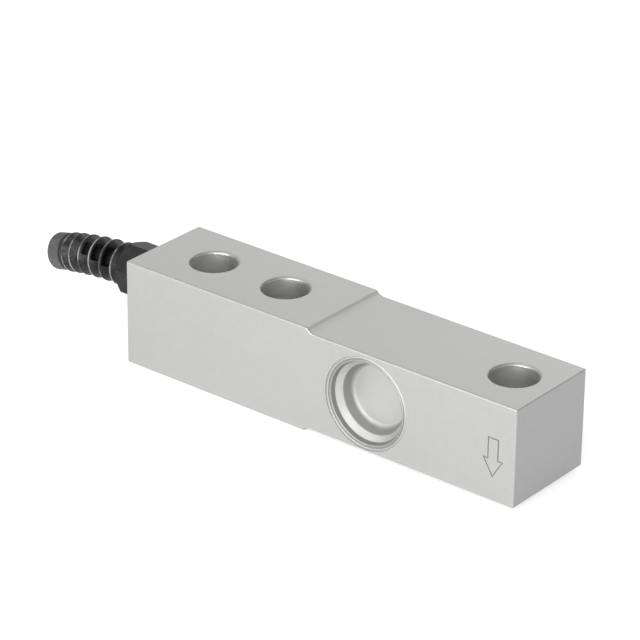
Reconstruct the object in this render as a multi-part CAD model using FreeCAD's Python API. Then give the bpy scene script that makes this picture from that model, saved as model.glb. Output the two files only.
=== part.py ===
import FreeCAD, Part
import math
import os

V = FreeCAD.Vector

# A single-ended shear-beam load cell. Millimetres, +Z up.
# Origin: centre of the two fixed-end holes, on the bottom mounting face.
# +X runs to the load end, -Y is the side with the engraved arrow.

# ---------------------------------------------------------------- dimensions
BEAM_W = 30.0            # width, along Y
BEAM_H = 30.4            # height of the fixed end
X_BACK = -30.9           # back end face, which carries the gland
X_FREE = 99.3            # load end face
X_STEP = 31.85           # where the fixed end's top steps down to the load end
X_STEP_BOT = 31.2        # where its underside steps up
STEP_TOP = 1.3           # top relief of the load end
STEP_BOT = 1.1           # bottom relief of the load end
STEP_R = 3.0             # cutter radius left at the foot of each step
STEP_CREST_R = 0.5       # rounded crest of the top step
EDGE_R = 0.44            # broken outer edges
BACK_EDGE_R = 0.46       # upright edges of the back end
FREE_EDGE_R = 0.46       # upright edges of the load end

HOLE_R = 6.6             # mounting and load holes
HOLE_ROUND = 0.65        # rounded mouths of the holes
HOLE_PITCH = 25.0        # between the two fixed-end holes
LOAD_X = 87.5            # load hole

PX, PZ = 51.65, 14.8     # centre of the side recesses
RIM_R = 13.3             # outer edge of the weld ring
RIM_D = 0.20             # fine step round it
BEAD_TOP = 0.03          # crest of the ring, below the face
SEAT_R = 12.3            # bore that takes the cup's rim
SEAT_D = 3.6
CAVITY_R = 11.0          # gauge cavity below the seat
CAVITY_D = 12.5          # leaves a 5 mm web
CAVITY_CORNER = 0.8
WEB = BEAM_W / 2 - CAVITY_D
WEB_HOLE = (6.2, -6.4, 1.3)   # dx, dz from the recess centre, radius

CUP_T = 0.5              # sheet thickness of the cup
CUP_FLOOR_D = 6.5        # depth of the visible flat disc

GLAND_Y, GLAND_Z = 5.0, 16.83
THREAD_R = 5.9           # M12 shank, its fine thread left plain
THREAD_HOLE_R = 5.95
THREAD_HOLE_D = 9.5
CHANNEL_Y, CHANNEL_Z, CHANNEL_R = 9.75, 16.0, 1.5
GROOVE_X = PX - 11.15    # relief that joins the channel to the far cavity
HEX_AF = 14.0
HEX_CORNER_R = 7.95
HEX_TURN = 45.0          # angle of one hexagon corner, from +Y towards +Z
NUT_END = 16.0           # nut's outer rim, from the back face

TAIL_BEND_R = 108.5      # the moulded tail droops on this radius
TAIL_L = 27.8
TAIL_R0, TAIL_R1 = 6.0, 5.25
TAIL_BORE_R = 3.5
CORE_R0, CORE_R1 = 4.75, 4.35
RIB_CRESTS = [3.0, 7.2, 11.35, 15.35, 18.95, 21.9]   # along the tail, from the nut's rim
RIB_DEPTHS = [1.15, 1.15, 1.05, 0.95, 0.85, 0.75]
RIB_RISE = 0.22          # the crests stand proud of the tail's general taper
POCKET_R = 3.95          # floor of the flex pockets between the first ribs
# start, end, half angle, and the middle's angle from +Y towards +Z; a second row lies opposite
POCKETS = [(3.95, 6.66, 33.0, 144.0), (8.0, 10.8, 29.0, 140.0), (12.3, 14.6, 22.0, 136.0)]
COLLAR_START = 23.55

os.makedirs("parts", exist_ok=True)


def save(shape, name):
    if shape.ShapeType == "Compound" and len(shape.Solids) == 1:
        shape = shape.Solids[0]
    ok = shape.isValid() and all(s.isValid() and s.isClosed() for s in shape.Solids)
    print("%-22s solids %2d valid %s volume %.3f" % (name, len(shape.Solids), ok, shape.Volume))
    shape.exportStep("parts/%s.step" % name)
    return shape


def cyl(p, d, r, h):
    return Part.makeCylinder(r, h, V(*p), V(*d))


def box(x0, x1, y0, y1, z0, z1):
    return Part.makeBox(x1 - x0, y1 - y0, z1 - z0, V(x0, y0, z0))


def fuse(shapes):
    s = shapes[0].multiFuse(shapes[1:]) if len(shapes) > 1 else shapes[0]
    s = s.removeSplitter()
    return s.Solids[0] if len(s.Solids) == 1 else s


def near(shape):
    """The far-side shape (built at +Y) turned to the near side (-Y) by a mirror in the XZ plane."""
    m = shape.mirror(V(0, 0, 0), V(0, 1, 0))
    return m


def revolve_recess(points):
    """Revolve (radius, depth) points about the recess axis. Depth is measured in from the far face."""
    vs = []
    for r, d in points:
        vs.append(V(PX + r, BEAM_W / 2 - d, PZ))
    w = Part.makePolygon(vs + [vs[0]])
    return Part.Face(w).revolve(V(PX, 0, PZ), V(0, 1, 0), 360)


def rounded_wire(points, rb):
    """A path of straight runs joined by tangent arcs of radius rb."""
    pts = [V(*p) for p in points]
    edges, start = [], pts[0]
    for i in range(1, len(pts) - 1):
        a, b, c = pts[i - 1], pts[i], pts[i + 1]
        u, v = (a - b).normalize(), (c - b).normalize()
        ang = math.acos(max(-1, min(1, u.dot(v))))
        if abs(ang - math.pi) < 1e-4:
            continue
        t = rb / math.tan(ang / 2)
        p1, p2 = b + u * t, b + v * t
        bis = (u + v).normalize()
        ctr = b + bis * (rb / math.sin(ang / 2))
        mid = ctr + (b - ctr).normalize() * rb
        if (p1 - start).Length > 1e-6:
            edges.append(Part.LineSegment(start, p1).toShape())
        edges.append(Part.Arc(p1, mid, p2).toShape())
        start = p2
    edges.append(Part.LineSegment(start, pts[-1]).toShape())
    return Part.Wire(edges)


def wire_tube(points, r, rb):
    path = rounded_wire(points, rb)
    d = (V(*points[1]) - V(*points[0])).normalize()
    circ = Part.Wire([Part.Circle(V(*points[0]), d, r).toShape()])
    return path.makePipeShell([circ], True, False)


def hexagon(x0, x1):
    """Hexagonal bar along X between x0 and x1 (x0 < x1), corners turned to HEX_CORNER_R."""
    rc = HEX_AF / math.sqrt(3)
    vs = []
    for k in range(6):
        a = math.radians(HEX_TURN + 60 * k)
        vs.append(V(x0, GLAND_Y + rc * math.cos(a), GLAND_Z + rc * math.sin(a)))
    bar = Part.Face(Part.makePolygon(vs + [vs[0]])).extrude(V(x1 - x0, 0, 0))
    return bar.common(cyl((x0, GLAND_Y, GLAND_Z), (1, 0, 0), HEX_CORNER_R, x1 - x0))


def gcyl(s0, s1, r):
    """Cylinder on the gland's axis from s0 to s1, measured outward from the back face."""
    return cyl((X_BACK - s0, GLAND_Y, GLAND_Z), (-1, 0, 0), r, s1 - s0)


def gcone(s0, s1, r0, r1):
    return Part.makeCone(r0, r1, s1 - s0, V(X_BACK - s0, GLAND_Y, GLAND_Z), V(-1, 0, 0))


# ---------------------------------------------------------------- beam body
def step_arc(x, z_low, z_high):
    """Foot of a step: the arc left by a cutter of STEP_R, tangent to the relieved face.
    Returns the arc's length along X and its middle point."""
    up = 1 if z_high > z_low else -1
    s = abs(z_high - z_low)
    w = math.sqrt(2 * STEP_R * s - s * s)
    ctr = V(x + w, 0, z_low + up * STEP_R)
    chord_mid = V(x + w / 2, 0, (z_low + z_high) / 2)
    return w, ctr + (chord_mid - ctr).normalize() * STEP_R


def mouth(x, z, up):
    """Cutter for a hole's rounded mouth on the face at height z; up is the face's outward side."""
    c = HOLE_ROUND
    k = c * math.sqrt(0.5)

    def Q(r, d):
        return V(x + r, 0, z + up * d)

    w = Part.Wire([
        Part.LineSegment(Q(0, 1), Q(0, -c)).toShape(),
        Part.LineSegment(Q(0, -c), Q(HOLE_R, -c)).toShape(),
        Part.Arc(Q(HOLE_R, -c), Q(HOLE_R + c - k, -c + k), Q(HOLE_R + c, 0)).toShape(),
        Part.LineSegment(Q(HOLE_R + c, 0), Q(HOLE_R + c, 1)).toShape(),
        Part.LineSegment(Q(HOLE_R + c, 1), Q(0, 1)).toShape(),
    ])
    return Part.Face(w).revolve(V(x, 0, 0), V(0, 0, 1), 360)


def beam():
    zt, zb = BEAM_H - STEP_TOP, STEP_BOT
    wb, mb = step_arc(X_STEP_BOT, zb, 0.0)
    y0 = -BEAM_W / 2

    def P(x, z):
        return V(x, y0, z)

    # top step: a rounded crest that runs into the cutter's arc at its foot
    wt = step_arc(X_STEP, zt, BEAM_H)[0]
    foot = P(X_STEP + wt, zt + STEP_R)
    dz = STEP_R - STEP_TOP + STEP_CREST_R
    crest = P(foot.x - math.sqrt((STEP_R + STEP_CREST_R) ** 2 - dz * dz), BEAM_H - STEP_CREST_R)
    towards = (foot - crest).normalize()
    meet = crest + towards * STEP_CREST_R
    crest_mid = crest + (towards + V(0, 0, 1)).normalize() * STEP_CREST_R
    foot_mid = foot - (towards + V(0, 0, 1)).normalize() * STEP_R

    edges = [
        Part.LineSegment(P(X_BACK, 0), P(X_STEP_BOT, 0)).toShape(),
        Part.Arc(P(X_STEP_BOT, 0), V(mb.x, y0, mb.z), P(X_STEP_BOT + wb, zb)).toShape(),
        Part.LineSegment(P(X_STEP_BOT + wb, zb), P(X_FREE, zb)).toShape(),
        Part.LineSegment(P(X_FREE, zb), P(X_FREE, zt)).toShape(),
        Part.LineSegment(P(X_FREE, zt), P(foot.x, zt)).toShape(),
        Part.Arc(P(foot.x, zt), foot_mid, meet).toShape(),
        Part.Arc(meet, crest_mid, P(crest.x, BEAM_H)).toShape(),
        Part.LineSegment(P(crest.x, BEAM_H), P(X_BACK, BEAM_H)).toShape(),
        Part.LineSegment(P(X_BACK, BEAM_H), P(X_BACK, 0)).toShape(),
    ]
    body = Part.Face(Part.Wire(edges)).extrude(V(0, BEAM_W, 0))

    # outer edges: the upright ones first, then all the others but the steps' own cross edges
    def upright(shape, x):
        return [e for e in shape.Edges if e.BoundBox.ZLength > 20 and abs(e.BoundBox.XMin - x) < 1e-3
                and abs(e.BoundBox.XMax - x) < 1e-3]

    body = body.makeFillet(BACK_EDGE_R, upright(body, X_BACK))
    body = body.makeFillet(FREE_EDGE_R, upright(body, X_FREE))
    rest = []
    for e in body.Edges:
        b = e.BoundBox
        if b.ZLength > 20:
            continue
        if b.YLength > 28 and not (abs(b.XMin - X_BACK) < 1e-3 or abs(b.XMax - X_FREE) < 1e-3):
            continue
        rest.append(e)
    body = body.makeFillet(EDGE_R, rest)

    cuts = []
    for x, zlo, zhi in ((-HOLE_PITCH / 2, 0.0, BEAM_H), (HOLE_PITCH / 2, 0.0, BEAM_H), (LOAD_X, zb, zt)):
        cuts.append(cyl((x, 0, zlo - 1), (0, 0, 1), HOLE_R, zhi - zlo + 2))
        cuts.append(mouth(x, zhi, 1))
        cuts.append(mouth(x, zlo, -1))

    prof = [(0, -1), (RIM_R, -1), (RIM_R, 0.02), (RIM_R - 0.02, RIM_D), (RIM_R - 0.14, RIM_D),
            (RIM_R - 0.42, BEAD_TOP + 0.02), (RIM_R - 0.56, BEAD_TOP), (SEAT_R + 0.30, BEAD_TOP + 0.05),
            (SEAT_R + 0.18, 0.20), (SEAT_R + 0.10, 0.42), (SEAT_R, 0.42),
            (SEAT_R, SEAT_D), (CAVITY_R, SEAT_D), (CAVITY_R, CAVITY_D - CAVITY_CORNER),
            (CAVITY_R - CAVITY_CORNER, CAVITY_D), (0, CAVITY_D)]
    pocket = revolve_recess(prof)
    cuts.append(pocket)
    cuts.append(near(pocket))
    cuts.append(cyl((PX + WEB_HOLE[0], -WEB - 1, PZ + WEB_HOLE[1]), (0, 1, 0), WEB_HOLE[2], 2 * WEB + 2))

    # relief in the far cavity's wall, and the wire channel to the gland's hole
    cuts.append(cyl((GROOVE_X, WEB, CHANNEL_Z), (0, 1, 0), CHANNEL_R, BEAM_W / 2 - SEAT_D - WEB))
    x_bot = X_BACK + THREAD_HOLE_D
    cuts.append(cyl((x_bot - 0.01, CHANNEL_Y, CHANNEL_Z), (1, 0, 0), CHANNEL_R, GROOVE_X - x_bot + 0.01))
    # threaded hole for the gland, with its lead-in chamfer
    cuts.append(cyl((X_BACK - 1, GLAND_Y, GLAND_Z), (1, 0, 0), THREAD_HOLE_R, THREAD_HOLE_D + 1))
    cuts.append(Part.makeCone(THREAD_HOLE_R + 1.0, THREAD_HOLE_R - 0.01, 1.01,
                              V(X_BACK - 0.5, GLAND_Y, GLAND_Z), V(1, 0, 0)))

    # engraved outline of a plain downward arrow: the direction in which the load acts
    cx, lw, dp = 92.45, 0.34, 0.16
    outline = [(-1.55, 18.8), (1.55, 18.8), (1.55, 12.85), (2.95, 12.85), (0.0, 8.0), (-2.95, 12.85), (-1.55, 12.85)]

    def face_poly(pts, off):
        w = Part.makePolygon([V(cx + a, y0 - 0.5, b) for a, b in pts + [pts[0]]])
        w = w.makeOffset2D(off, 2) if abs(off) > 1e-9 else w
        return Part.Face(w if w.ShapeType == "Wire" else w.Wires[0])

    outer, inner = face_poly(outline, lw / 2), face_poly(outline, -lw / 2)
    if outer.Area < inner.Area:
        outer, inner = inner, outer
    groove = outer.cut(inner).extrude(V(0, 0.5 + dp, 0))
    cuts.append(groove)

    for c in cuts:
        body = body.cut(c)
    return body.removeSplitter()


# ---------------------------------------------------------------- cup covers
def cup_cover():
    """Formed cup at the far side: rounded rim, short wall, sloping ledge, inner wall, flat disc."""
    B = BEAM_W / 2
    y = lambda d: B - d

    def P(r, d):
        return V(PX + r, y(d), PZ)

    rim_r, rim_top = 0.3, 0.22
    e = []
    e.append(Part.Arc(P(12.3, rim_top + rim_r), P(12.21, rim_top + 0.09), P(12.0, rim_top)).toShape())
    e.append(Part.LineSegment(P(12.0, rim_top), P(11.9, rim_top)).toShape())
    e.append(Part.Arc(P(11.9, rim_top), P(11.69, rim_top + 0.09), P(11.6, rim_top + rim_r)).toShape())
    e.append(Part.LineSegment(P(11.6, rim_top + rim_r), P(11.36, 1.38)).toShape())
    e.append(Part.Arc(P(11.36, 1.38), P(11.315, 1.505), P(11.24, 1.62)).toShape())
    e.append(Part.LineSegment(P(11.24, 1.62), P(10.070, 3.173)).toShape())
    e.append(Part.Arc(P(10.070, 3.173), P(9.968, 3.338), P(9.901, 3.521)).toShape())
    e.append(Part.LineSegment(P(9.901, 3.521), P(9.372, 5.53)).toShape())
    e.append(Part.Arc(P(9.372, 5.53), P(8.909, 6.23), P(8.115, CUP_FLOOR_D)).toShape())
    e.append(Part.LineSegment(P(8.115, CUP_FLOOR_D), P(0, CUP_FLOOR_D)).toShape())
    t = CUP_T
    e.append(Part.LineSegment(P(0, CUP_FLOOR_D), P(0, CUP_FLOOR_D + t)).toShape())
    e.append(Part.LineSegment(P(0, CUP_FLOOR_D + t), P(8.115, CUP_FLOOR_D + t)).toShape())
    e.append(Part.Arc(P(8.115, CUP_FLOOR_D + t), P(9.215, 6.626), P(9.856, 5.657)).toShape())
    e.append(Part.LineSegment(P(9.856, 5.657), P(10.41, 3.55)).toShape())
    e.append(Part.LineSegment(P(10.41, 3.55), P(11.38, 2.265)).toShape())
    e.append(Part.Arc(P(11.38, 2.265), P(11.79, 1.97), P(12.3, 1.87)).toShape())
    e.append(Part.LineSegment(P(12.3, 1.87), P(12.3, rim_top + rim_r)).toShape())
    w = Part.Wire(e)
    return Part.Face(w).revolve(V(PX, 0, PZ), V(0, 1, 0), 360)


# ---------------------------------------------------------------- inside the cavities (far side, +Y)
PAD_X = [-3.0, -1.0, 1.0, 3.0]       # solder tabs and terminals, from the recess centre
TAB_Z = -3.5
TERM_Z = -7.2
GAUGE_T = 0.12
TERM_T = 0.8


def strain_gauge():
    """Foil shear gauge: carrier, two grids at 45 degrees, four solder tabs."""
    y0 = WEB
    carrier = box(PX - 4.4, PX + 4.4, y0, y0 + GAUGE_T, PZ - 4.4, PZ + 3.6)
    vert = [e for e in carrier.Edges if e.BoundBox.YLength > GAUGE_T - 1e-3 and e.BoundBox.XLength < 1e-3
            and e.BoundBox.ZLength < 1e-3]
    carrier = carrier.makeFillet(0.6, vert)
    adds = []
    for sgn in (-1, 1):
        for k in range(5):
            bar = box(-0.16, 0.16, y0 + GAUGE_T - 0.02, y0 + GAUGE_T + 0.04, -1.4, 1.4)
            bar.translate(V(-1.12 + 0.56 * k, 0, 0))
            bar.rotate(V(0, 0, 0), V(0, 1, 0), 45 * sgn)
            bar.translate(V(PX + 2.15 * sgn, 0, PZ + 0.6))
            adds.append(bar)
    for dx in PAD_X:
        adds.append(box(PX + dx - 0.6, PX + dx + 0.6, y0 + GAUGE_T - 0.02, y0 + GAUGE_T + 0.04,
                        PZ + TAB_Z - 0.5, PZ + TAB_Z + 0.5))
    return fuse([carrier] + adds)


def terminal_strip():
    y0 = WEB
    base = box(PX - 4.2, PX + 4.2, y0, y0 + TERM_T, PZ + TERM_Z - 1.3, PZ + TERM_Z + 1.3)
    adds = [cyl((PX + dx, y0 + TERM_T - 0.05, PZ + TERM_Z), (0, 1, 0), 0.75, 0.10) for dx in PAD_X]
    return fuse([base] + adds)


def gauge_wires():
    y_tab = WEB + GAUGE_T + 0.04
    y_term = WEB + TERM_T + 0.05
    zt, zb = PZ + TAB_Z, PZ + TERM_Z + 0.45
    out = []
    for dx in PAD_X:
        out.append(wire_tube([(PX + dx, y_tab, zt), (PX + dx, y_tab + 2.0, zt),
                              (PX + dx, y_tab + 2.0, zb), (PX + dx, y_term, zb)], 0.12, 0.9))
    return Part.makeCompound(out)


def gauge_coating(gauge, wires, strip):
    disc = cyl((PX, WEB, PZ + 0.2), (0, 1, 0), 5.7, 1.0)
    ring = [e for e in disc.Edges if e.BoundBox.YMax > WEB + 0.99 and e.BoundBox.YLength < 0.01]
    disc = disc.makeFillet(0.6, ring)
    disc = disc.cut(box(PX - 6, PX + 6, WEB - 0.1, WEB + 2, PZ - 8.9, PZ - 5.35))
    return disc.cut(gauge).cut(wires)


def web_wires():
    """Two jumpers from the near terminals through the web hole to the far ones."""
    hx, hz = PX + WEB_HOLE[0], PZ + WEB_HOLE[1]
    yt = WEB + TERM_T + 0.05
    out = []
    for dx, off in ((3.0, -0.45), (1.0, 0.45)):
        zw = PZ + TERM_Z - 0.35
        run_y = yt + (0.9 if dx > 2 else 1.6)
        out.append(wire_tube([(PX + dx, -yt, zw), (PX + dx, -run_y, zw), (hx + off, -run_y, hz),
                              (hx + off, run_y, hz), (PX + dx, run_y, zw), (PX + dx, yt, zw)], 0.22, 0.35))
    return Part.makeCompound(out)


def trim_board():
    y0 = WEB
    b = box(PX - 9.0, PX - 5.9, y0, y0 + 0.8, PZ - 4.4, PZ + 4.4)
    pads = [cyl((PX - 8.45, y0 + 0.75, PZ - 3.6 + 2.4 * k), (0, 1, 0), 0.42, 0.10) for k in range(4)]
    pads += [cyl((PX - 6.35, y0 + 0.75, PZ - 3.9 + 1.1 * k), (0, 1, 0), 0.32, 0.10) for k in range(3)]
    return fuse([b] + pads)


def trim_resistors():
    out = []
    for k in range(3):
        z = PZ - 2.4 + 2.4 * k
        out.append(box(PX - 7.8, PX - 7.0, WEB + 0.8, WEB + 1.25, z - 0.7, z + 0.7))
    out.append(box(PX - 6.75, PX - 6.05, WEB + 0.8, WEB + 1.25, PZ + 1.6, PZ + 3.0))
    return Part.makeCompound(out)


def board_wires():
    """Three jumpers from the far terminals to the trim board's edge pads."""
    yt = WEB + TERM_T + 0.05
    out = []
    for k, dx in enumerate((-3.0, -1.0, 1.0)):
        z0 = PZ + TERM_Z - 0.35 if dx < 1.0 else PZ + TERM_Z + 0.0
        x0 = PX + dx - (0.35 if dx > 0 else 0.0)
        run = yt + 0.55 + 0.55 * k + 1.4
        pad_z = PZ - 3.9 + 1.1 * k
        out.append(wire_tube([(x0, yt, z0), (x0, run, z0), (PX - 6.35, run, pad_z), (PX - 6.35, WEB + 0.85, pad_z)],
                             0.14, 0.4))
    return Part.makeCompound(out)


LEAD = [(-0.47, -0.47), (0.47, -0.47), (0.47, 0.47), (-0.47, 0.47)]
SEAL_L = 6.0


def lead_wires():
    """Four leads from the board, up the relief, along the channel and out of the potting plug."""
    out = []
    end_x = X_BACK + THREAD_HOLE_D - 1.5
    for k, (a, b) in enumerate(LEAD):
        zp = PZ - 3.6 + 2.4 * k
        zc = CHANNEL_Z + b
        yc = CHANNEL_Y + a
        yr = WEB + 0.85 + (1.6 if k in (0, 3) else 2.8)
        xg = GROOVE_X + a
        out.append(wire_tube([(PX - 8.45, WEB + 0.85, zp), (PX - 8.45, yr, zp), (PX - 9.6, yr, zc), (xg, yr, zc),
                              (xg, yc, zc), (end_x, yc, zc)], 0.3, 0.55))
    return Part.makeCompound(out)


def channel_seal(leads):
    x0 = X_BACK + THREAD_HOLE_D
    return cyl((x0, CHANNEL_Y, CHANNEL_Z), (1, 0, 0), CHANNEL_R, SEAL_L).cut(leads)


def modulus_resistor():
    """Bonded foil resistor on the near side of the web."""
    base = box(PX - 9.2, PX - 6.0, WEB, WEB + 0.12, PZ - 3.0, PZ + 3.0)
    adds = [box(PX - 8.95 + 0.66 * k, PX - 8.59 + 0.66 * k, WEB + 0.1, WEB + 0.17, PZ - 2.5, PZ + 2.5) for k in range(5)]
    return fuse([base] + adds)


# ---------------------------------------------------------------- gland
def gland_face_seal():
    s = gcyl(0.0, 1.0, 7.0).cut(gcyl(-0.1, 1.1, 6.05))
    rim = [e for e in s.Edges if abs(e.BoundBox.ZLength - 14.0) < 0.05 and e.BoundBox.XLength < 0.01]
    return s.makeFillet(0.3, rim)


BODY_HEX = (1.0, 5.2)
NECK_END = 13.4
NECK_R = 5.3
FINGER_R_IN = 4.1


def gland_body():
    """Moulded body: M12 shank, hexagon, and a neck that ends in eight clamping fingers."""
    hexa = hexagon(X_BACK - BODY_HEX[1], X_BACK - BODY_HEX[0])
    edge = gcone(BODY_HEX[1] - 0.7, BODY_HEX[1], 8.1, 6.9).fuse(gcyl(BODY_HEX[0] - 0.1, BODY_HEX[1] - 0.7, 8.1))
    hexa = hexa.common(edge)
    shank = gcyl(-8.0, BODY_HEX[0], THREAD_R)
    tip = gcyl(-8.0, BODY_HEX[0], THREAD_R + 1).cut(
        Part.makeCone(THREAD_R - 0.7, THREAD_R + 1, 1.7, V(X_BACK + 8.0, GLAND_Y, GLAND_Z), V(-1, 0, 0)).fuse(
            gcyl(-6.3, BODY_HEX[0], THREAD_R + 1)))
    shank = shank.cut(tip)
    neck = gcyl(BODY_HEX[1], 10.2, NECK_R).fuse(gcone(10.2, NECK_END, NECK_R - 0.1, NECK_R - 0.9))
    body = hexa.fuse(shank).fuse(neck)
    body = body.cut(gcyl(-9, 14, 3.3)).cut(gcyl(5.6, 14, FINGER_R_IN))
    for k in range(8):
        slot = box(-3.4, 0, -0.35, 0.35, 3.2, 8.0)
        slot.translate(V(X_BACK - 10.3, 0, 0))
        slot.rotate(V(0, 0, 0), V(1, 0, 0), 45 * k)
        slot.translate(V(0, GLAND_Y, GLAND_Z))
        body = body.cut(slot)
    return body.removeSplitter()


def gland_cable_seal():
    """Rubber sleeve inside the fingers, bored for a 5 mm cord."""
    s = gcyl(5.6, 12.6, FINGER_R_IN - 0.02).cut(gcyl(5.5, 12.7, 2.6))
    lip = Part.makeCone(2.6, 3.6, 1.0, V(X_BACK - 11.61, GLAND_Y, GLAND_Z), V(-1, 0, 0))
    return s.cut(lip)


def tail_frame(s):
    a = s / TAIL_BEND_R
    xe = X_BACK - NUT_END
    return (V(xe - TAIL_BEND_R * math.sin(a), GLAND_Y, GLAND_Z - TAIL_BEND_R * (1 - math.cos(a))),
            V(-math.cos(a), 0, -math.sin(a)), V(-math.sin(a), 0, math.cos(a)))


def tail_r(s):
    return TAIL_R0 + (TAIL_R1 - TAIL_R0) * s / TAIL_L


def core_r(s):
    return CORE_R0 + (CORE_R1 - CORE_R0) * s / TAIL_L


def rib(crest, reach, depth):
    """One flared rib: it rises from the side of the nut to a thin rounded crest and drops steeply
    behind it. It is one closed turned ring round the core; reach is how far it starts before its crest."""
    p, t, u = tail_frame(crest)
    ro, ri = tail_r(crest) + RIB_RISE, core_r(crest) - 0.5

    def P(a, r):
        return p + t * a + u * r

    foot = P(-reach, ro - depth)
    lip = P(-0.48, ro - 0.2)
    mid = P(-0.48 - (reach - 0.48) * 0.46, ro - 0.2 - (depth - 0.2) * 0.66)
    e = [Part.LineSegment(P(-reach, ri), foot).toShape(),
         Part.Arc(foot, mid, lip).toShape(),
         Part.Arc(lip, P(-0.06, ro), P(0.34, ro - 0.28)).toShape(),
         Part.LineSegment(P(0.34, ro - 0.28), P(0.46, ro - depth - 0.15)).toShape(),
         Part.LineSegment(P(0.46, ro - depth - 0.15), P(0.46, ri)).toShape(),
         Part.LineSegment(P(0.46, ri), P(-reach, ri)).toShape()]
    return Part.Face(Part.Wire(e)).revolve(p, t, 360)


def flex_pocket(s0, s1, half, turn):
    """Cutter of one pocket: part of a ring between two ribs, with rounded corners."""
    p, t, u = tail_frame((s0 + s1) / 2)
    h = (s1 - s0) / 2
    w = Part.makePolygon([p - t * h + u * POCKET_R, p + t * h + u * POCKET_R, p + t * h + u * 7.2,
                          p - t * h + u * 7.2, p - t * h + u * POCKET_R])
    q = Part.Face(w).revolve(p, t, 2 * half)
    # u points up (90 degrees); a negative turn about t, which points along -X, moves it towards -Y
    q.rotate(p, t, 90.0 - turn - half)
    radial = [e for e in q.Edges if e.Curve.TypeId == "Part::GeomLine" and
              abs(abs((e.Vertexes[1].Point - e.Vertexes[0].Point).normalize().dot(t))) < 0.01]
    return q.makeFillet(0.55, radial)


def arc_tube(r, s0, s1):
    a, m, b = tail_frame(s0), tail_frame((s0 + s1) / 2), tail_frame(s1)
    path = Part.Wire([Part.Arc(a[0], m[0], b[0]).toShape()])
    return path.makePipeShell([Part.Wire([Part.Circle(a[0], a[1], r).toShape()])], True, False)


def gland_tail_nut():
    """One moulding: hexagon nut, ribbed tail and end collar, bored for the cord all the way."""
    x1 = X_BACK - 5.5
    nut = hexagon(X_BACK - NUT_END, x1)
    rims = gcone(NUT_END - 0.8, NUT_END, 8.2, 6.9).fuse(gcyl(6.2, NUT_END - 0.8, 8.2)).fuse(
        gcone(5.5, 6.2, 7.0, 8.2))
    nut = nut.common(rims)
    core = arc_tube(CORE_R0 - 0.1, 0.0, TAIL_L - 0.5)
    parts = [core]
    for k, crest in enumerate(RIB_CRESTS):
        reach = 1.9 if k == 0 else crest - RIB_CRESTS[k - 1] - 0.5
        parts.append(rib(crest, reach, RIB_DEPTHS[k] if k else 0.6))
    # end collar: plain turned ring with softly rounded edges
    s0, s1 = COLLAR_START, TAIL_L
    sm = (s0 + s1) / 2
    p, t, u = tail_frame(sm)
    h = (s1 - s0) / 2
    rc = TAIL_R1 + 0.05

    def P(a, r):
        return p + t * a + u * r

    e = [Part.LineSegment(P(-h, 3.0), P(-h, rc - 0.3)).toShape(),
         Part.Arc(P(-h, rc - 0.3), P(-h + 0.088, rc - 0.088), P(-h + 0.3, rc)).toShape(),
         Part.LineSegment(P(-h + 0.3, rc), P(h - 0.5, rc)).toShape(),
         Part.Arc(P(h - 0.5, rc), P(h - 0.146, rc - 0.146), P(h, rc - 0.5)).toShape(),
         Part.LineSegment(P(h, rc - 0.5), P(h, 3.0)).toShape(),
         Part.LineSegment(P(h, 3.0), P(-h, 3.0)).toShape()]
    collar = Part.Face(Part.Wire(e)).revolve(p, t, 360)
    collar_bore = Part.makeCylinder(TAIL_BORE_R, s1 - s0 + 2.0, p - t * (h + 0.4), t)
    parts.append(collar)
    body = nut
    for q in parts:
        body = body.fuse(q)
    for s0, s1, half, middle in POCKETS:
        for turn in (middle, middle + 180.0):
            body = body.cut(flex_pocket(s0, s1, half, turn))
    bore = arc_tube(TAIL_BORE_R, -0.0, COLLAR_START + 0.2)
    body = body.cut(bore).cut(collar_bore)
    mouth = Part.makeCone(TAIL_BORE_R, TAIL_BORE_R + 0.9, 0.9, p + t * (h - 0.6), t)
    body = body.cut(mouth)
    # inside of the nut: thread, squeezing cone, way to the tail
    body = body.cut(gcyl(5.0, 11.2, NECK_R + 0.05))
    body = body.cut(gcone(11.2, 14.6, NECK_R - 0.25, NECK_R - 1.05))
    body = body.cut(gcone(14.6, NUT_END + 0.05, NECK_R - 1.05, TAIL_BORE_R))
    return body.removeSplitter()


# ---------------------------------------------------------------- build
made = {}


def put(name, shape):
    made[name] = save(shape, name)


put("beam_body", beam())
cup = cup_cover()
put("cup_cover_far", cup)
put("cup_cover_near", near(cup))

gauge, strip, gw = strain_gauge(), terminal_strip(), gauge_wires()
coat = gauge_coating(gauge, gw, strip)
put("strain_gauge_far", gauge)
put("strain_gauge_near", near(gauge))
put("terminal_strip_far", strip)
put("terminal_strip_near", near(strip))
put("gauge_wires_far", gw)
put("gauge_wires_near", near(gw))
put("gauge_coating_far", coat)
put("gauge_coating_near", near(coat))
put("web_wires", web_wires())
put("modulus_resistor", near(modulus_resistor()))
put("trim_board", trim_board())
put("trim_resistors", trim_resistors())
put("board_wires", board_wires())
leads = lead_wires()
put("lead_wires", leads)
put("channel_seal", channel_seal(leads))

put("gland_face_seal", gland_face_seal())
put("gland_body", gland_body())
put("gland_cable_seal", gland_cable_seal())
put("gland_tail_nut", gland_tail_nut())

total = Part.makeCompound(list(made.values()))
bb = total.BoundBox
print("box x %.2f..%.2f y %.2f..%.2f z %.2f..%.2f" % (bb.XMin, bb.XMax, bb.YMin, bb.YMax, bb.ZMin, bb.ZMax))
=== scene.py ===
import math
import bpy
from mathutils import Matrix, Vector

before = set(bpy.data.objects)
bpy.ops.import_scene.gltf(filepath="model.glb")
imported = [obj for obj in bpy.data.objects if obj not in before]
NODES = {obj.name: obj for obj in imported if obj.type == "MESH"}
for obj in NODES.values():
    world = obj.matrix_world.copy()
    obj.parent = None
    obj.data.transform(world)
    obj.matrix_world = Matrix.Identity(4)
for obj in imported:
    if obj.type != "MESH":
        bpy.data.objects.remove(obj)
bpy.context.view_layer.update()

scene = bpy.context.scene

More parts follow.
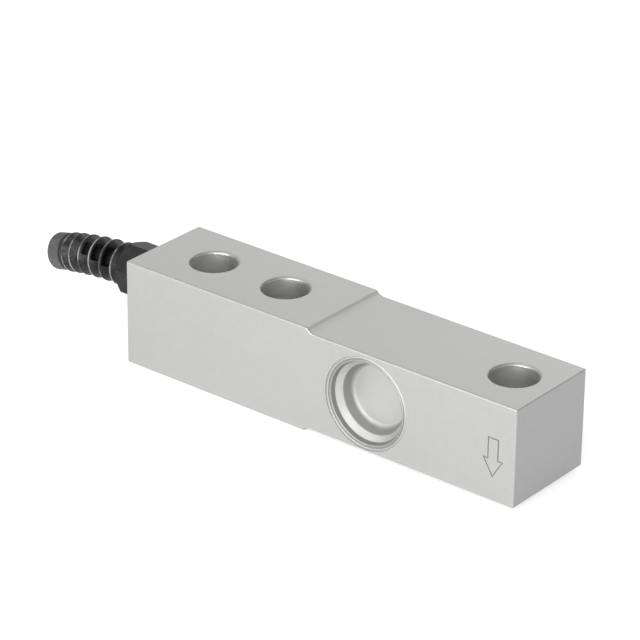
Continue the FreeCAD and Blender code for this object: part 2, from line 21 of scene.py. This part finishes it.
# ------------------------------------------------------------------ dimensions of the part, metres
MM = 0.001
HOLES = [(-12.5 * MM, 30.4 * MM), (12.5 * MM, 30.4 * MM), (87.5 * MM, 29.1 * MM)]   # x, top of the hole
HOLE_R = 6.6 * MM
PX, PZ = 51.65 * MM, 14.8 * MM           # centre of the side recesses
BEAM_Y = 15.0 * MM


# ------------------------------------------------------------------ node helpers
class Mat:
    """A small helper that builds one procedural material on object coordinates (metres, the part's frame)."""

    def __init__(self, name):
        self.m = bpy.data.materials.new(name)
        self.m.use_nodes = True
        self.t = self.m.node_tree
        self.t.nodes.clear()
        self.out = self.t.nodes.new("ShaderNodeOutputMaterial")
        self.bsdf = self.t.nodes.new("ShaderNodeBsdfPrincipled")
        self.t.links.new(self.bsdf.outputs[0], self.out.inputs["Surface"])
        tc = self.t.nodes.new("ShaderNodeTexCoord")
        self.pos = tc.outputs["Object"]
        sep = self.t.nodes.new("ShaderNodeSeparateXYZ")
        self.t.links.new(self.pos, sep.inputs[0])
        self.x, self.y, self.z = sep.outputs[0], sep.outputs[1], sep.outputs[2]

    def put(self, sock, v):
        if hasattr(v, "is_linked") or isinstance(v, bpy.types.NodeSocket):
            self.t.links.new(v, sock)
        else:
            sock.default_value = v

    def math(self, op, a, b=0.0, c=None, clamp=False):
        n = self.t.nodes.new("ShaderNodeMath")
        n.operation = op
        n.use_clamp = clamp
        self.put(n.inputs[0], a)
        self.put(n.inputs[1], b)
        if c is not None:
            self.put(n.inputs[2], c)
        return n.outputs[0]

    def vec(self, op, a, b=(0.0, 0.0, 0.0)):
        n = self.t.nodes.new("ShaderNodeVectorMath")
        n.operation = op
        self.put(n.inputs[0], a)
        self.put(n.inputs[1], b)
        return n.outputs["Value"] if op in ("LENGTH", "DISTANCE", "DOT_PRODUCT") else n.outputs["Vector"]

    def xyz(self, x, y, z):
        n = self.t.nodes.new("ShaderNodeCombineXYZ")
        self.put(n.inputs[0], x)
        self.put(n.inputs[1], y)
        self.put(n.inputs[2], z)
        return n.outputs[0]

    def noise(self, scale, detail=2.0, rough=0.5, vec=None, dist=0.0):
        n = self.t.nodes.new("ShaderNodeTexNoise")
        n.noise_dimensions = "3D"
        self.put(n.inputs["Vector"], self.pos if vec is None else vec)
        n.inputs["Scale"].default_value = scale
        n.inputs["Detail"].default_value = detail
        n.inputs["Roughness"].default_value = rough
        n.inputs["Distortion"].default_value = dist
        return n.outputs["Fac"]

    def stretch(self, sx, sy, sz):
        return self.vec("MULTIPLY", self.pos, (sx, sy, sz))

    def remap(self, v, a, b, lo=0.0, hi=1.0, smooth=True):
        n = self.t.nodes.new("ShaderNodeMapRange")
        n.interpolation_type = "SMOOTHSTEP" if smooth else "LINEAR"
        n.clamp = True
        self.put(n.inputs["Value"], v)
        n.inputs["From Min"].default_value = a
        n.inputs["From Max"].default_value = b
        n.inputs["To Min"].default_value = lo
        n.inputs["To Max"].default_value = hi
        return n.outputs["Result"]

    def mix(self, f, a, b):
        n = self.t.nodes.new("ShaderNodeMix")
        n.data_type = "RGBA"
        self.put(n.inputs["Factor"], f)
        ia, ib = [s for s in n.inputs if s.type == "RGBA"]
        self.put(ia, a if not isinstance(a, tuple) else (*a, 1.0)[:4])
        self.put(ib, b if not isinstance(b, tuple) else (*b, 1.0)[:4])
        return [s for s in n.outputs if s.type == "RGBA"][0]

    def lerp(self, f, a, b):
        n = self.t.nodes.new("ShaderNodeMix")
        n.data_type = "FLOAT"
        self.put(n.inputs[0], f)
        self.put(n.inputs[2], a)
        self.put(n.inputs[3], b)
        return n.outputs[0]

    def bump(self, height, distance, strength=1.0, normal=None):
        n = self.t.nodes.new("ShaderNodeBump")
        n.inputs["Strength"].default_value = strength
        n.inputs["Distance"].default_value = distance
        self.put(n.inputs["Height"], height)
        if normal is not None:
            self.put(n.inputs["Normal"], normal)
        return n.outputs["Normal"]

    def color(self, v):
        self.put(self.bsdf.inputs["Base Color"], v)

    def rough(self, v):
        self.put(self.bsdf.inputs["Roughness"], v)

    def normal(self, v):
        self.put(self.bsdf.inputs["Normal"], v)

    def const(self, **kw):
        for k, v in kw.items():
            self.bsdf.inputs[k.replace("_", " ")].default_value = v


def grey(a, b, c):
    return (a, b, c, 1.0)


# ------------------------------------------------------------------ steel
def beam_steel():
    m = Mat("beam_steel")
    m.const(Metallic=1.0)
    cloud = m.noise(28.0, 3.0, 0.55)
    spot = m.noise(520.0, 2.0, 0.6)
    grain = m.noise(6500.0, 2.0, 0.6)
    fine = m.math("ADD", m.math("MULTIPLY", cloud, 0.5), m.math("MULTIPLY", spot, 0.5))
    col = m.mix(m.remap(fine, 0.36, 0.64), grey(0.431, 0.432, 0.424), grey(0.446, 0.447, 0.439))

    # bores: turned wall with fine rings, and the smooth round at each mouth
    d = None
    for hx, _ in HOLES:
        p = m.xyz(m.math("SUBTRACT", m.x, hx), m.y, 0.0)
        r = m.vec("LENGTH", p)
        d = r if d is None else m.math("MINIMUM", d, r)
    in_bore = m.remap(d, HOLE_R + 0.006 * MM, HOLE_R + 0.020 * MM, 1.0, 0.0)
    in_mouth = m.math("SUBTRACT", m.remap(d, HOLE_R + 0.66 * MM, HOLE_R + 0.72 * MM, 1.0, 0.0), in_bore)
    rings = m.noise(1.0, 3.0, 0.7, m.vec("MULTIPLY", m.pos, (25.0, 25.0, 2600.0)))
    rings2 = m.noise(1.0, 2.0, 0.5, m.vec("MULTIPLY", m.pos, (12.0, 12.0, 700.0)))
    turned = m.math("ADD", m.math("MULTIPLY", rings, 0.6), m.math("MULTIPLY", rings2, 0.4))

    # recess rims: a turned face ring and bevel, on both sides
    q = m.vec("LENGTH", m.xyz(m.math("SUBTRACT", m.x, PX), 0.0, m.math("SUBTRACT", m.z, PZ)))
    side = m.math("GREATER_THAN", m.math("ABSOLUTE", m.y), BEAM_Y - 0.6 * MM)
    in_rim = m.math("MULTIPLY", m.remap(q, 13.26 * MM, 13.32 * MM, 1.0, 0.0), side)

    # painted shade: the free end face is given a darker steel tone than the sides
    col = m.mix(m.remap(m.x, 98.9 * MM, 99.25 * MM), col, m.mix(m.remap(fine, 0.36, 0.64), grey(0.392, 0.396, 0.394), grey(0.408, 0.412, 0.410)))
    # painted light and shade in the bores: the wall colour is very light near the top and darker lower down; the fine
    # rings are the turned marks
    wall = m.mix(m.remap(turned, 0.3, 0.7), grey(0.90, 0.90, 0.89), grey(0.97, 0.97, 0.96))
    wall = m.mix(m.remap(m.z, 23.5 * MM, 27.2 * MM, 1.0, 0.0), wall, m.mix(m.remap(turned, 0.3, 0.7), grey(0.64, 0.64, 0.632), grey(0.84, 0.84, 0.83)))
    col = m.mix(in_bore, col, wall)
    col = m.mix(in_rim, col, grey(0.44, 0.44, 0.432))
    # painted shade on the round at each hole mouth: coloured darker towards the bore and lighter towards the face,
    # dimming its highlight
    mouth = m.mix(m.remap(d, HOLE_R + 0.12 * MM, HOLE_R + 0.42 * MM), grey(0.380, 0.380, 0.373), grey(0.490, 0.491, 0.482))
    col = m.mix(in_mouth, col, mouth)
    # the engraved arrow: painted shade, the groove is coloured darker than the face
    at_arrow = m.math("MULTIPLY", m.remap(m.math("ABSOLUTE", m.math("SUBTRACT", m.x, 92.45 * MM)), 3.5 * MM, 3.6 * MM, 1.0, 0.0),
                      m.remap(m.math("ABSOLUTE", m.math("SUBTRACT", m.z, 13.4 * MM)), 5.9 * MM, 6.0 * MM, 1.0, 0.0))
    in_groove = m.math("MULTIPLY", m.math("MULTIPLY", m.remap(m.y, -14.96 * MM, -14.92 * MM), m.remap(m.y, -14.7 * MM, -14.6 * MM, 1.0, 0.0)), at_arrow)
    col = m.mix(in_groove, col, grey(0.29, 0.292, 0.284))
    m.color(col)

    base_r = m.math("ADD", 0.49, m.math("MULTIPLY", spot, 0.05))
    rr = m.lerp(in_bore, base_r, m.math("ADD", 0.32, m.math("MULTIPLY", turned, 0.08)))
    rr = m.lerp(m.math("ADD", in_mouth, in_rim, clamp=True), rr, 0.60)
    m.rough(rr)
    blast = m.math("ADD", m.math("MULTIPLY", grain, 0.7), m.math("MULTIPLY", m.noise(2300.0, 2.0, 0.6), 0.5))
    # fine cutter marks round the bores: they spread the light along the bore, not round it
    marks = m.noise(1.0, 2.0, 0.6, m.vec("MULTIPLY", m.pos, (40.0, 40.0, 9000.0)))
    h = m.lerp(in_bore, blast, m.math("MULTIPLY", marks, 7.0))
    m.normal(m.bump(h, 3e-6, 1.0))
    return m.m


def cover_steel():
    m = Mat("cover_steel")
    m.const(Metallic=1.0)
    q = m.vec("LENGTH", m.xyz(m.math("SUBTRACT", m.x, PX), 0.0, m.math("SUBTRACT", m.z, PZ)))
    cloud = m.noise(60.0, 3.0, 0.5)
    grain = m.noise(5200.0, 2.0, 0.6)
    rings = m.noise(1.0, 3.0, 0.6, m.xyz(m.math("MULTIPLY", q, 2600.0), 0.0, m.math("MULTIPLY", m.y, 2600.0)))
    f = m.math("ADD", m.math("MULTIPLY", cloud, 0.6), m.math("MULTIPLY", rings, 0.4))
    plain = m.mix(m.remap(f, 0.35, 0.65), grey(0.450, 0.451, 0.442), grey(0.478, 0.479, 0.470))
    low_wall_painted_shade = m.mix(m.remap(f, 0.35, 0.65), grey(0.388, 0.389, 0.381), grey(0.414, 0.415, 0.407))
    # painted light and shade across the cup: steep walls and root coloured darker than the flat floor as painted
    # shade, the sloping ledge lighter as a painted highlight
    low_wall = m.math("MULTIPLY", m.remap(q, 9.05 * MM, 9.30 * MM), m.remap(q, 9.90 * MM, 9.98 * MM, 1.0, 0.0))
    top_wall = m.remap(q, 11.24 * MM, 11.32 * MM)
    ledge = m.math("MULTIPLY", m.remap(q, 9.96 * MM, 10.06 * MM), m.remap(q, 11.18 * MM, 11.26 * MM, 1.0, 0.0))
    root = m.math("MULTIPLY", m.remap(q, 8.20 * MM, 8.70 * MM), m.remap(q, 9.10 * MM, 9.30 * MM, 1.0, 0.0))
    # painted highlight on the sloping ledge
    ledge_painted_highlight = m.mix(m.remap(f, 0.35, 0.65), grey(0.585, 0.586, 0.575), grey(0.625, 0.626, 0.615))
    tone = m.mix(low_wall, plain, low_wall_painted_shade)
    tone = m.mix(top_wall, tone, grey(0.335, 0.336, 0.330))
    tone = m.mix(root, tone, grey(0.375, 0.376, 0.369))
    m.color(m.mix(ledge, tone, ledge_painted_highlight))
    m.rough(m.math("ADD", m.lerp(root, 0.50, 0.56), m.math("MULTIPLY", grain, 0.06)))
    h = m.math("ADD", m.math("MULTIPLY", grain, 0.7), m.math("MULTIPLY", rings, 0.3))
    m.normal(m.bump(h, 2.5e-6, 1.0))
    return m.m


# ------------------------------------------------------------------ plastics, rubber, inner pieces
def gland_plastic():
    m = Mat("gland_plastic")
    m.const(Metallic=0.0)
    blotch = m.noise(220.0, 3.0, 0.55)
    spark = m.noise(4200.0, 2.0, 0.6)
    # way along the drooping tail, from the nut's rim, in metres
    s = m.math("MULTIPLY", m.math("ARCTAN2", m.math("SUBTRACT", -46.9 * MM, m.x), m.math("SUBTRACT", m.z, -91.67 * MM)), 108.5 * MM)
    # distance from the tail's drooping axis, against the crest radius of the ribs at that place
    lift = m.math("SUBTRACT", m.vec("LENGTH", m.xyz(m.math("SUBTRACT", m.x, -46.9 * MM), 0.0, m.math("SUBTRACT", m.z, -91.67 * MM))), 108.5 * MM)
    r = m.vec("LENGTH", m.xyz(m.math("SUBTRACT", m.y, 5.0 * MM), lift, 0.0))
    proud = m.math("SUBTRACT", r, m.math("SUBTRACT", 6.22 * MM, m.math("MULTIPLY", s, 0.027)))
    on_tail = m.math("MULTIPLY", m.remap(s, 1.5 * MM, 2.0 * MM), m.remap(s, 22.6 * MM, 22.9 * MM, 1.0, 0.0))
    crest = m.math("MULTIPLY", m.remap(proud, -0.15 * MM, -0.03 * MM), on_tail)
    # lighter streaks that grow along the tail from 8 mm out, and a lighter, rougher end collar
    streak = m.noise(1.0, 3.0, 0.6, m.vec("MULTIPLY", m.pos, (420.0, 520.0, 700.0)))
    streaks_along_tail = m.math("MULTIPLY", m.remap(s, 8.0 * MM, 21.0 * MM, 0.0, 0.50), m.remap(streak, 0.36, 0.66))
    dull_amount = m.math("ADD", streaks_along_tail, m.remap(s, 23.0 * MM, 23.5 * MM, 0.0, 0.84))
    dark = m.mix(m.remap(blotch, 0.35, 0.65), grey(0.009, 0.0092, 0.0097), grey(0.016, 0.0162, 0.0168))
    # painted shade deep in the flanks and pockets between the ribs, from just past the nut's rim
    deep_flank_painted_shade = m.math("MULTIPLY", m.remap(proud, -1.0 * MM, -0.35 * MM, 1.0, 0.0), m.remap(s, 0.6 * MM, 1.6 * MM))
    dark = m.mix(deep_flank_painted_shade, dark, grey(0.0035, 0.0035, 0.0037))
    dull = m.mix(m.remap(blotch, 0.35, 0.65), grey(0.070, 0.070, 0.071), grey(0.090, 0.090, 0.091))
    # painted highlight: a light line of colour along each rib crest
    crest_painted_highlight = m.mix(m.remap(blotch, 0.40, 0.60), grey(0.04, 0.04, 0.041), grey(0.21, 0.21, 0.211))
    # painted shade: the gap before the end collar is coloured near black
    gap = m.math("MULTIPLY", m.remap(s, 21.5 * MM, 21.8 * MM), m.remap(s, 22.95 * MM, 23.1 * MM, 1.0, 0.0))
    m.color(m.mix(crest, m.mix(gap, m.mix(dull_amount, dark, dull), grey(0.003, 0.003, 0.0032)), crest_painted_highlight))
    m.rough(m.math("ADD", m.lerp(dull_amount, 0.33, 0.48), m.math("MULTIPLY", blotch, 0.10)))
    m.const(Specular_IOR_Level=0.17)
    m.normal(m.bump(m.math("ADD", spark, m.math("MULTIPLY", blotch, 0.8)), 5e-6, 1.0))
    return m.m


def simple(name, a, b, scale, rough, depth, metallic=0.0, fine=2600.0):
    """Mottled moulded or coated finish: two tones, a slow blotch, a fine grain."""
    m = Mat(name)
    m.const(Metallic=metallic)
    blotch = m.noise(scale, 3.0, 0.5)
    grain = m.noise(fine, 2.0, 0.6)
    m.color(m.mix(m.remap(blotch, 0.35, 0.65), (*a, 1.0), (*b, 1.0)))
    m.rough(m.math("ADD", rough, m.math("MULTIPLY", grain, 0.1)))
    m.normal(m.bump(grain, depth, 1.0))
    return m.m


def gauge_foil():
    """Amber carrier film; the raised foil (grids and tabs) is bare nickel alloy."""
    m = Mat("gauge_foil")
    h = m.math("ABSOLUTE", m.y)
    foil = m.remap(h, 2.625 * MM, 2.64 * MM)
    grain = m.noise(3000.0, 2.0, 0.6)
    m.color(m.mix(foil, m.mix(m.noise(300.0), grey(0.50, 0.25, 0.05), grey(0.62, 0.33, 0.08)), grey(0.60, 0.55, 0.48)))
    m.put(m.bsdf.inputs["Metallic"], foil)
    m.rough(m.lerp(foil, 0.45, 0.32))
    m.normal(m.bump(grain, 3e-6, 1.0))
    return m.m


def board_laminate():
    """Green laminate; pads above the board face are tinned."""
    m = Mat("board_laminate")
    h = m.math("ABSOLUTE", m.y)
    pad = m.remap(h, 3.305 * MM, 3.32 * MM)
    weave = m.math("MULTIPLY", m.math("SINE", m.math("MULTIPLY", m.x, 9000.0)), m.math("SINE", m.math("MULTIPLY", m.z, 9000.0)))
    m.color(m.mix(pad, m.mix(m.remap(weave, -1.0, 1.0), grey(0.03, 0.13, 0.05), grey(0.045, 0.18, 0.07)), grey(0.62, 0.62, 0.60)))
    m.put(m.bsdf.inputs["Metallic"], pad)
    m.rough(m.lerp(pad, 0.42, 0.28))
    m.normal(m.bump(weave, 5e-6, 1.0))
    return m.m


MATERIALS = {
    "beam_body": beam_steel(),
    "cup_cover_near": cover_steel(),
    "gland_body": gland_plastic(),
    "gland_face_seal": simple("seal_rubber", (0.010, 0.010, 0.010), (0.016, 0.016, 0.016), 300.0, 0.62, 8e-6),
    "strain_gauge_near": gauge_foil(),
    "terminal_strip_near": board_laminate(),
    "gauge_wires_near": simple("bare_wire", (0.62, 0.45, 0.33), (0.70, 0.52, 0.40), 800.0, 0.25, 2e-6, 1.0),
    "web_wires": simple("wire_red", (0.30, 0.03, 0.02), (0.38, 0.04, 0.03), 500.0, 0.42, 3e-6),
    "board_wires": simple("wire_white", (0.60, 0.60, 0.57), (0.68, 0.68, 0.65), 500.0, 0.42, 3e-6),
    "lead_wires": simple("wire_blue", (0.03, 0.07, 0.26), (0.04, 0.09, 0.32), 500.0, 0.42, 3e-6),
    "gauge_coating_near": simple("coating_rubber", (0.62, 0.60, 0.54), (0.70, 0.68, 0.62), 260.0, 0.35, 12e-6),
    "trim_resistors": simple("resistor_body", (0.02, 0.02, 0.022), (0.04, 0.04, 0.042), 900.0, 0.4, 3e-6),
    "channel_seal": simple("potting_resin", (0.22, 0.12, 0.03), (0.30, 0.17, 0.05), 400.0, 0.15, 5e-6),
}
SAME = {
    "cup_cover_far": "cup_cover_near", "gland_tail_nut": "gland_body", "gland_cable_seal": "gland_face_seal",
    "strain_gauge_far": "strain_gauge_near", "modulus_resistor": "strain_gauge_near",
    "terminal_strip_far": "terminal_strip_near", "trim_board": "terminal_strip_near",
    "gauge_wires_far": "gauge_wires_near", "gauge_coating_far": "gauge_coating_near",
}
for name, obj in NODES.items():
    mat = MATERIALS[SAME.get(name, name)]
    obj.data.materials.clear()
    obj.data.materials.append(mat)


# ------------------------------------------------------------------ floor
def floor():
    m = Mat("floor_white")
    m.const(Metallic=0.0, Specular_IOR_Level=0.0)
    n = m.noise(3.0, 2.0, 0.5)
    m.color(m.mix(n, grey(0.60, 0.60, 0.60), grey(0.62, 0.62, 0.62)))
    m.rough(1.0)
    m.bsdf.inputs["Emission Color"].default_value = (1.0, 1.0, 1.0, 1.0)
    m.bsdf.inputs["Emission Strength"].default_value = FLOOR_GLOW
    s = 3.0
    me = bpy.data.meshes.new("floor")
    me.from_pydata([(-s, -s, 0), (s, -s, 0), (s, s, 0), (-s, s, 0)], [], [(0, 1, 2, 3)])
    me.materials.append(m.m)
    o = bpy.data.objects.new("floor", me)
    o.location = (0.03, 0.0, -0.00002)
    scene.collection.objects.link(o)
    return o


FLOOR_GLOW = 0.55
floor()

# ------------------------------------------------------------------ light
WORLD = 0.45
world = bpy.data.worlds.new("studio")
scene.world = world
world.use_nodes = True
bg = world.node_tree.nodes["Background"]
bg.inputs["Color"].default_value = (1.0, 1.0, 1.0, 1.0)
bg.inputs["Strength"].default_value = WORLD

TARGET = Vector((0.03, 0.0, 0.015))


def softbox(name, azimuth, elevation, distance, w, h, power):
    """A rectangular light aimed at the part. Azimuth 0 is towards +X, 90 towards +Y."""
    a, e = math.radians(azimuth), math.radians(elevation)
    d = Vector((math.cos(a) * math.cos(e), math.sin(a) * math.cos(e), math.sin(e)))
    l = bpy.data.lights.new(name, "AREA")
    l.shape = "RECTANGLE"
    l.size, l.size_y = w, h
    l.energy = power
    l.color = (1.0, 1.0, 1.0)
    o = bpy.data.objects.new(name, l)
    o.location = TARGET + d * distance
    o.rotation_mode = "QUATERNION"
    o.rotation_quaternion = d.to_track_quat("Z", "Y")
    scene.collection.objects.link(o)
    return o


LIGHTS = [
    # name, azimuth, elevation, distance, width, height, power
    ("low_front", 255, 7, 1.3, 0.6, 0.28, 5.60),
    ("low_front_right", 290, 8, 1.3, 0.6, 0.28, 8.38),
    ("front_right", 309, 26, 1.4, 0.8, 0.6, 1.60),
    ("front_right_high", 302, 46, 1.3, 0.8, 0.6, 2.20),
    ("front_high", 258, 42, 1.3, 0.8, 0.6, 4.28),
    ("left_high", 210, 45, 1.3, 0.8, 0.6, 2.18),
    ("left", 180, 20, 1.3, 0.8, 0.5, 0.25),
    ("back_left", 128, 28, 1.2, 0.8, 0.5, 1.91),
    ("back", 90, 35, 1.2, 0.8, 0.5, 2.55),
    ("back_right", 45, 30, 1.3, 0.8, 0.5, 0.53),
]
for row in LIGHTS:
    softbox(*row)

# ------------------------------------------------------------------ camera, at the photograph's angle
RIGHT = Vector((0.7776607, 0.6285880, 0.0110001))
DOWN = Vector((0.2851588, -0.3370840, -0.8972507))
AHEAD = Vector((-0.5602931, 0.7008934, -0.4413844))
cam = bpy.data.cameras.new("photo_camera")
cam.sensor_width = 36.0
cam.lens = 185.081
cam.clip_start, cam.clip_end = 0.01, 20.0
cam_obj = bpy.data.objects.new("photo_camera", cam)
scene.collection.objects.link(cam_obj)
up, back = -DOWN, -AHEAD
rot = Matrix(((RIGHT.x, up.x, back.x), (RIGHT.y, up.y, back.y), (RIGHT.z, up.z, back.z)))
cam_obj.rotation_mode = "QUATERNION"
cam_obj.rotation_quaternion = rot.to_quaternion()
cam_obj.location = (0.511723, -0.609686, 0.408569)
scene.camera = cam_obj

scene.view_settings.view_transform = "Standard"
scene.view_settings.look = "None"
scene.view_settings.exposure = 0.0
scene.view_settings.gamma = 1.0
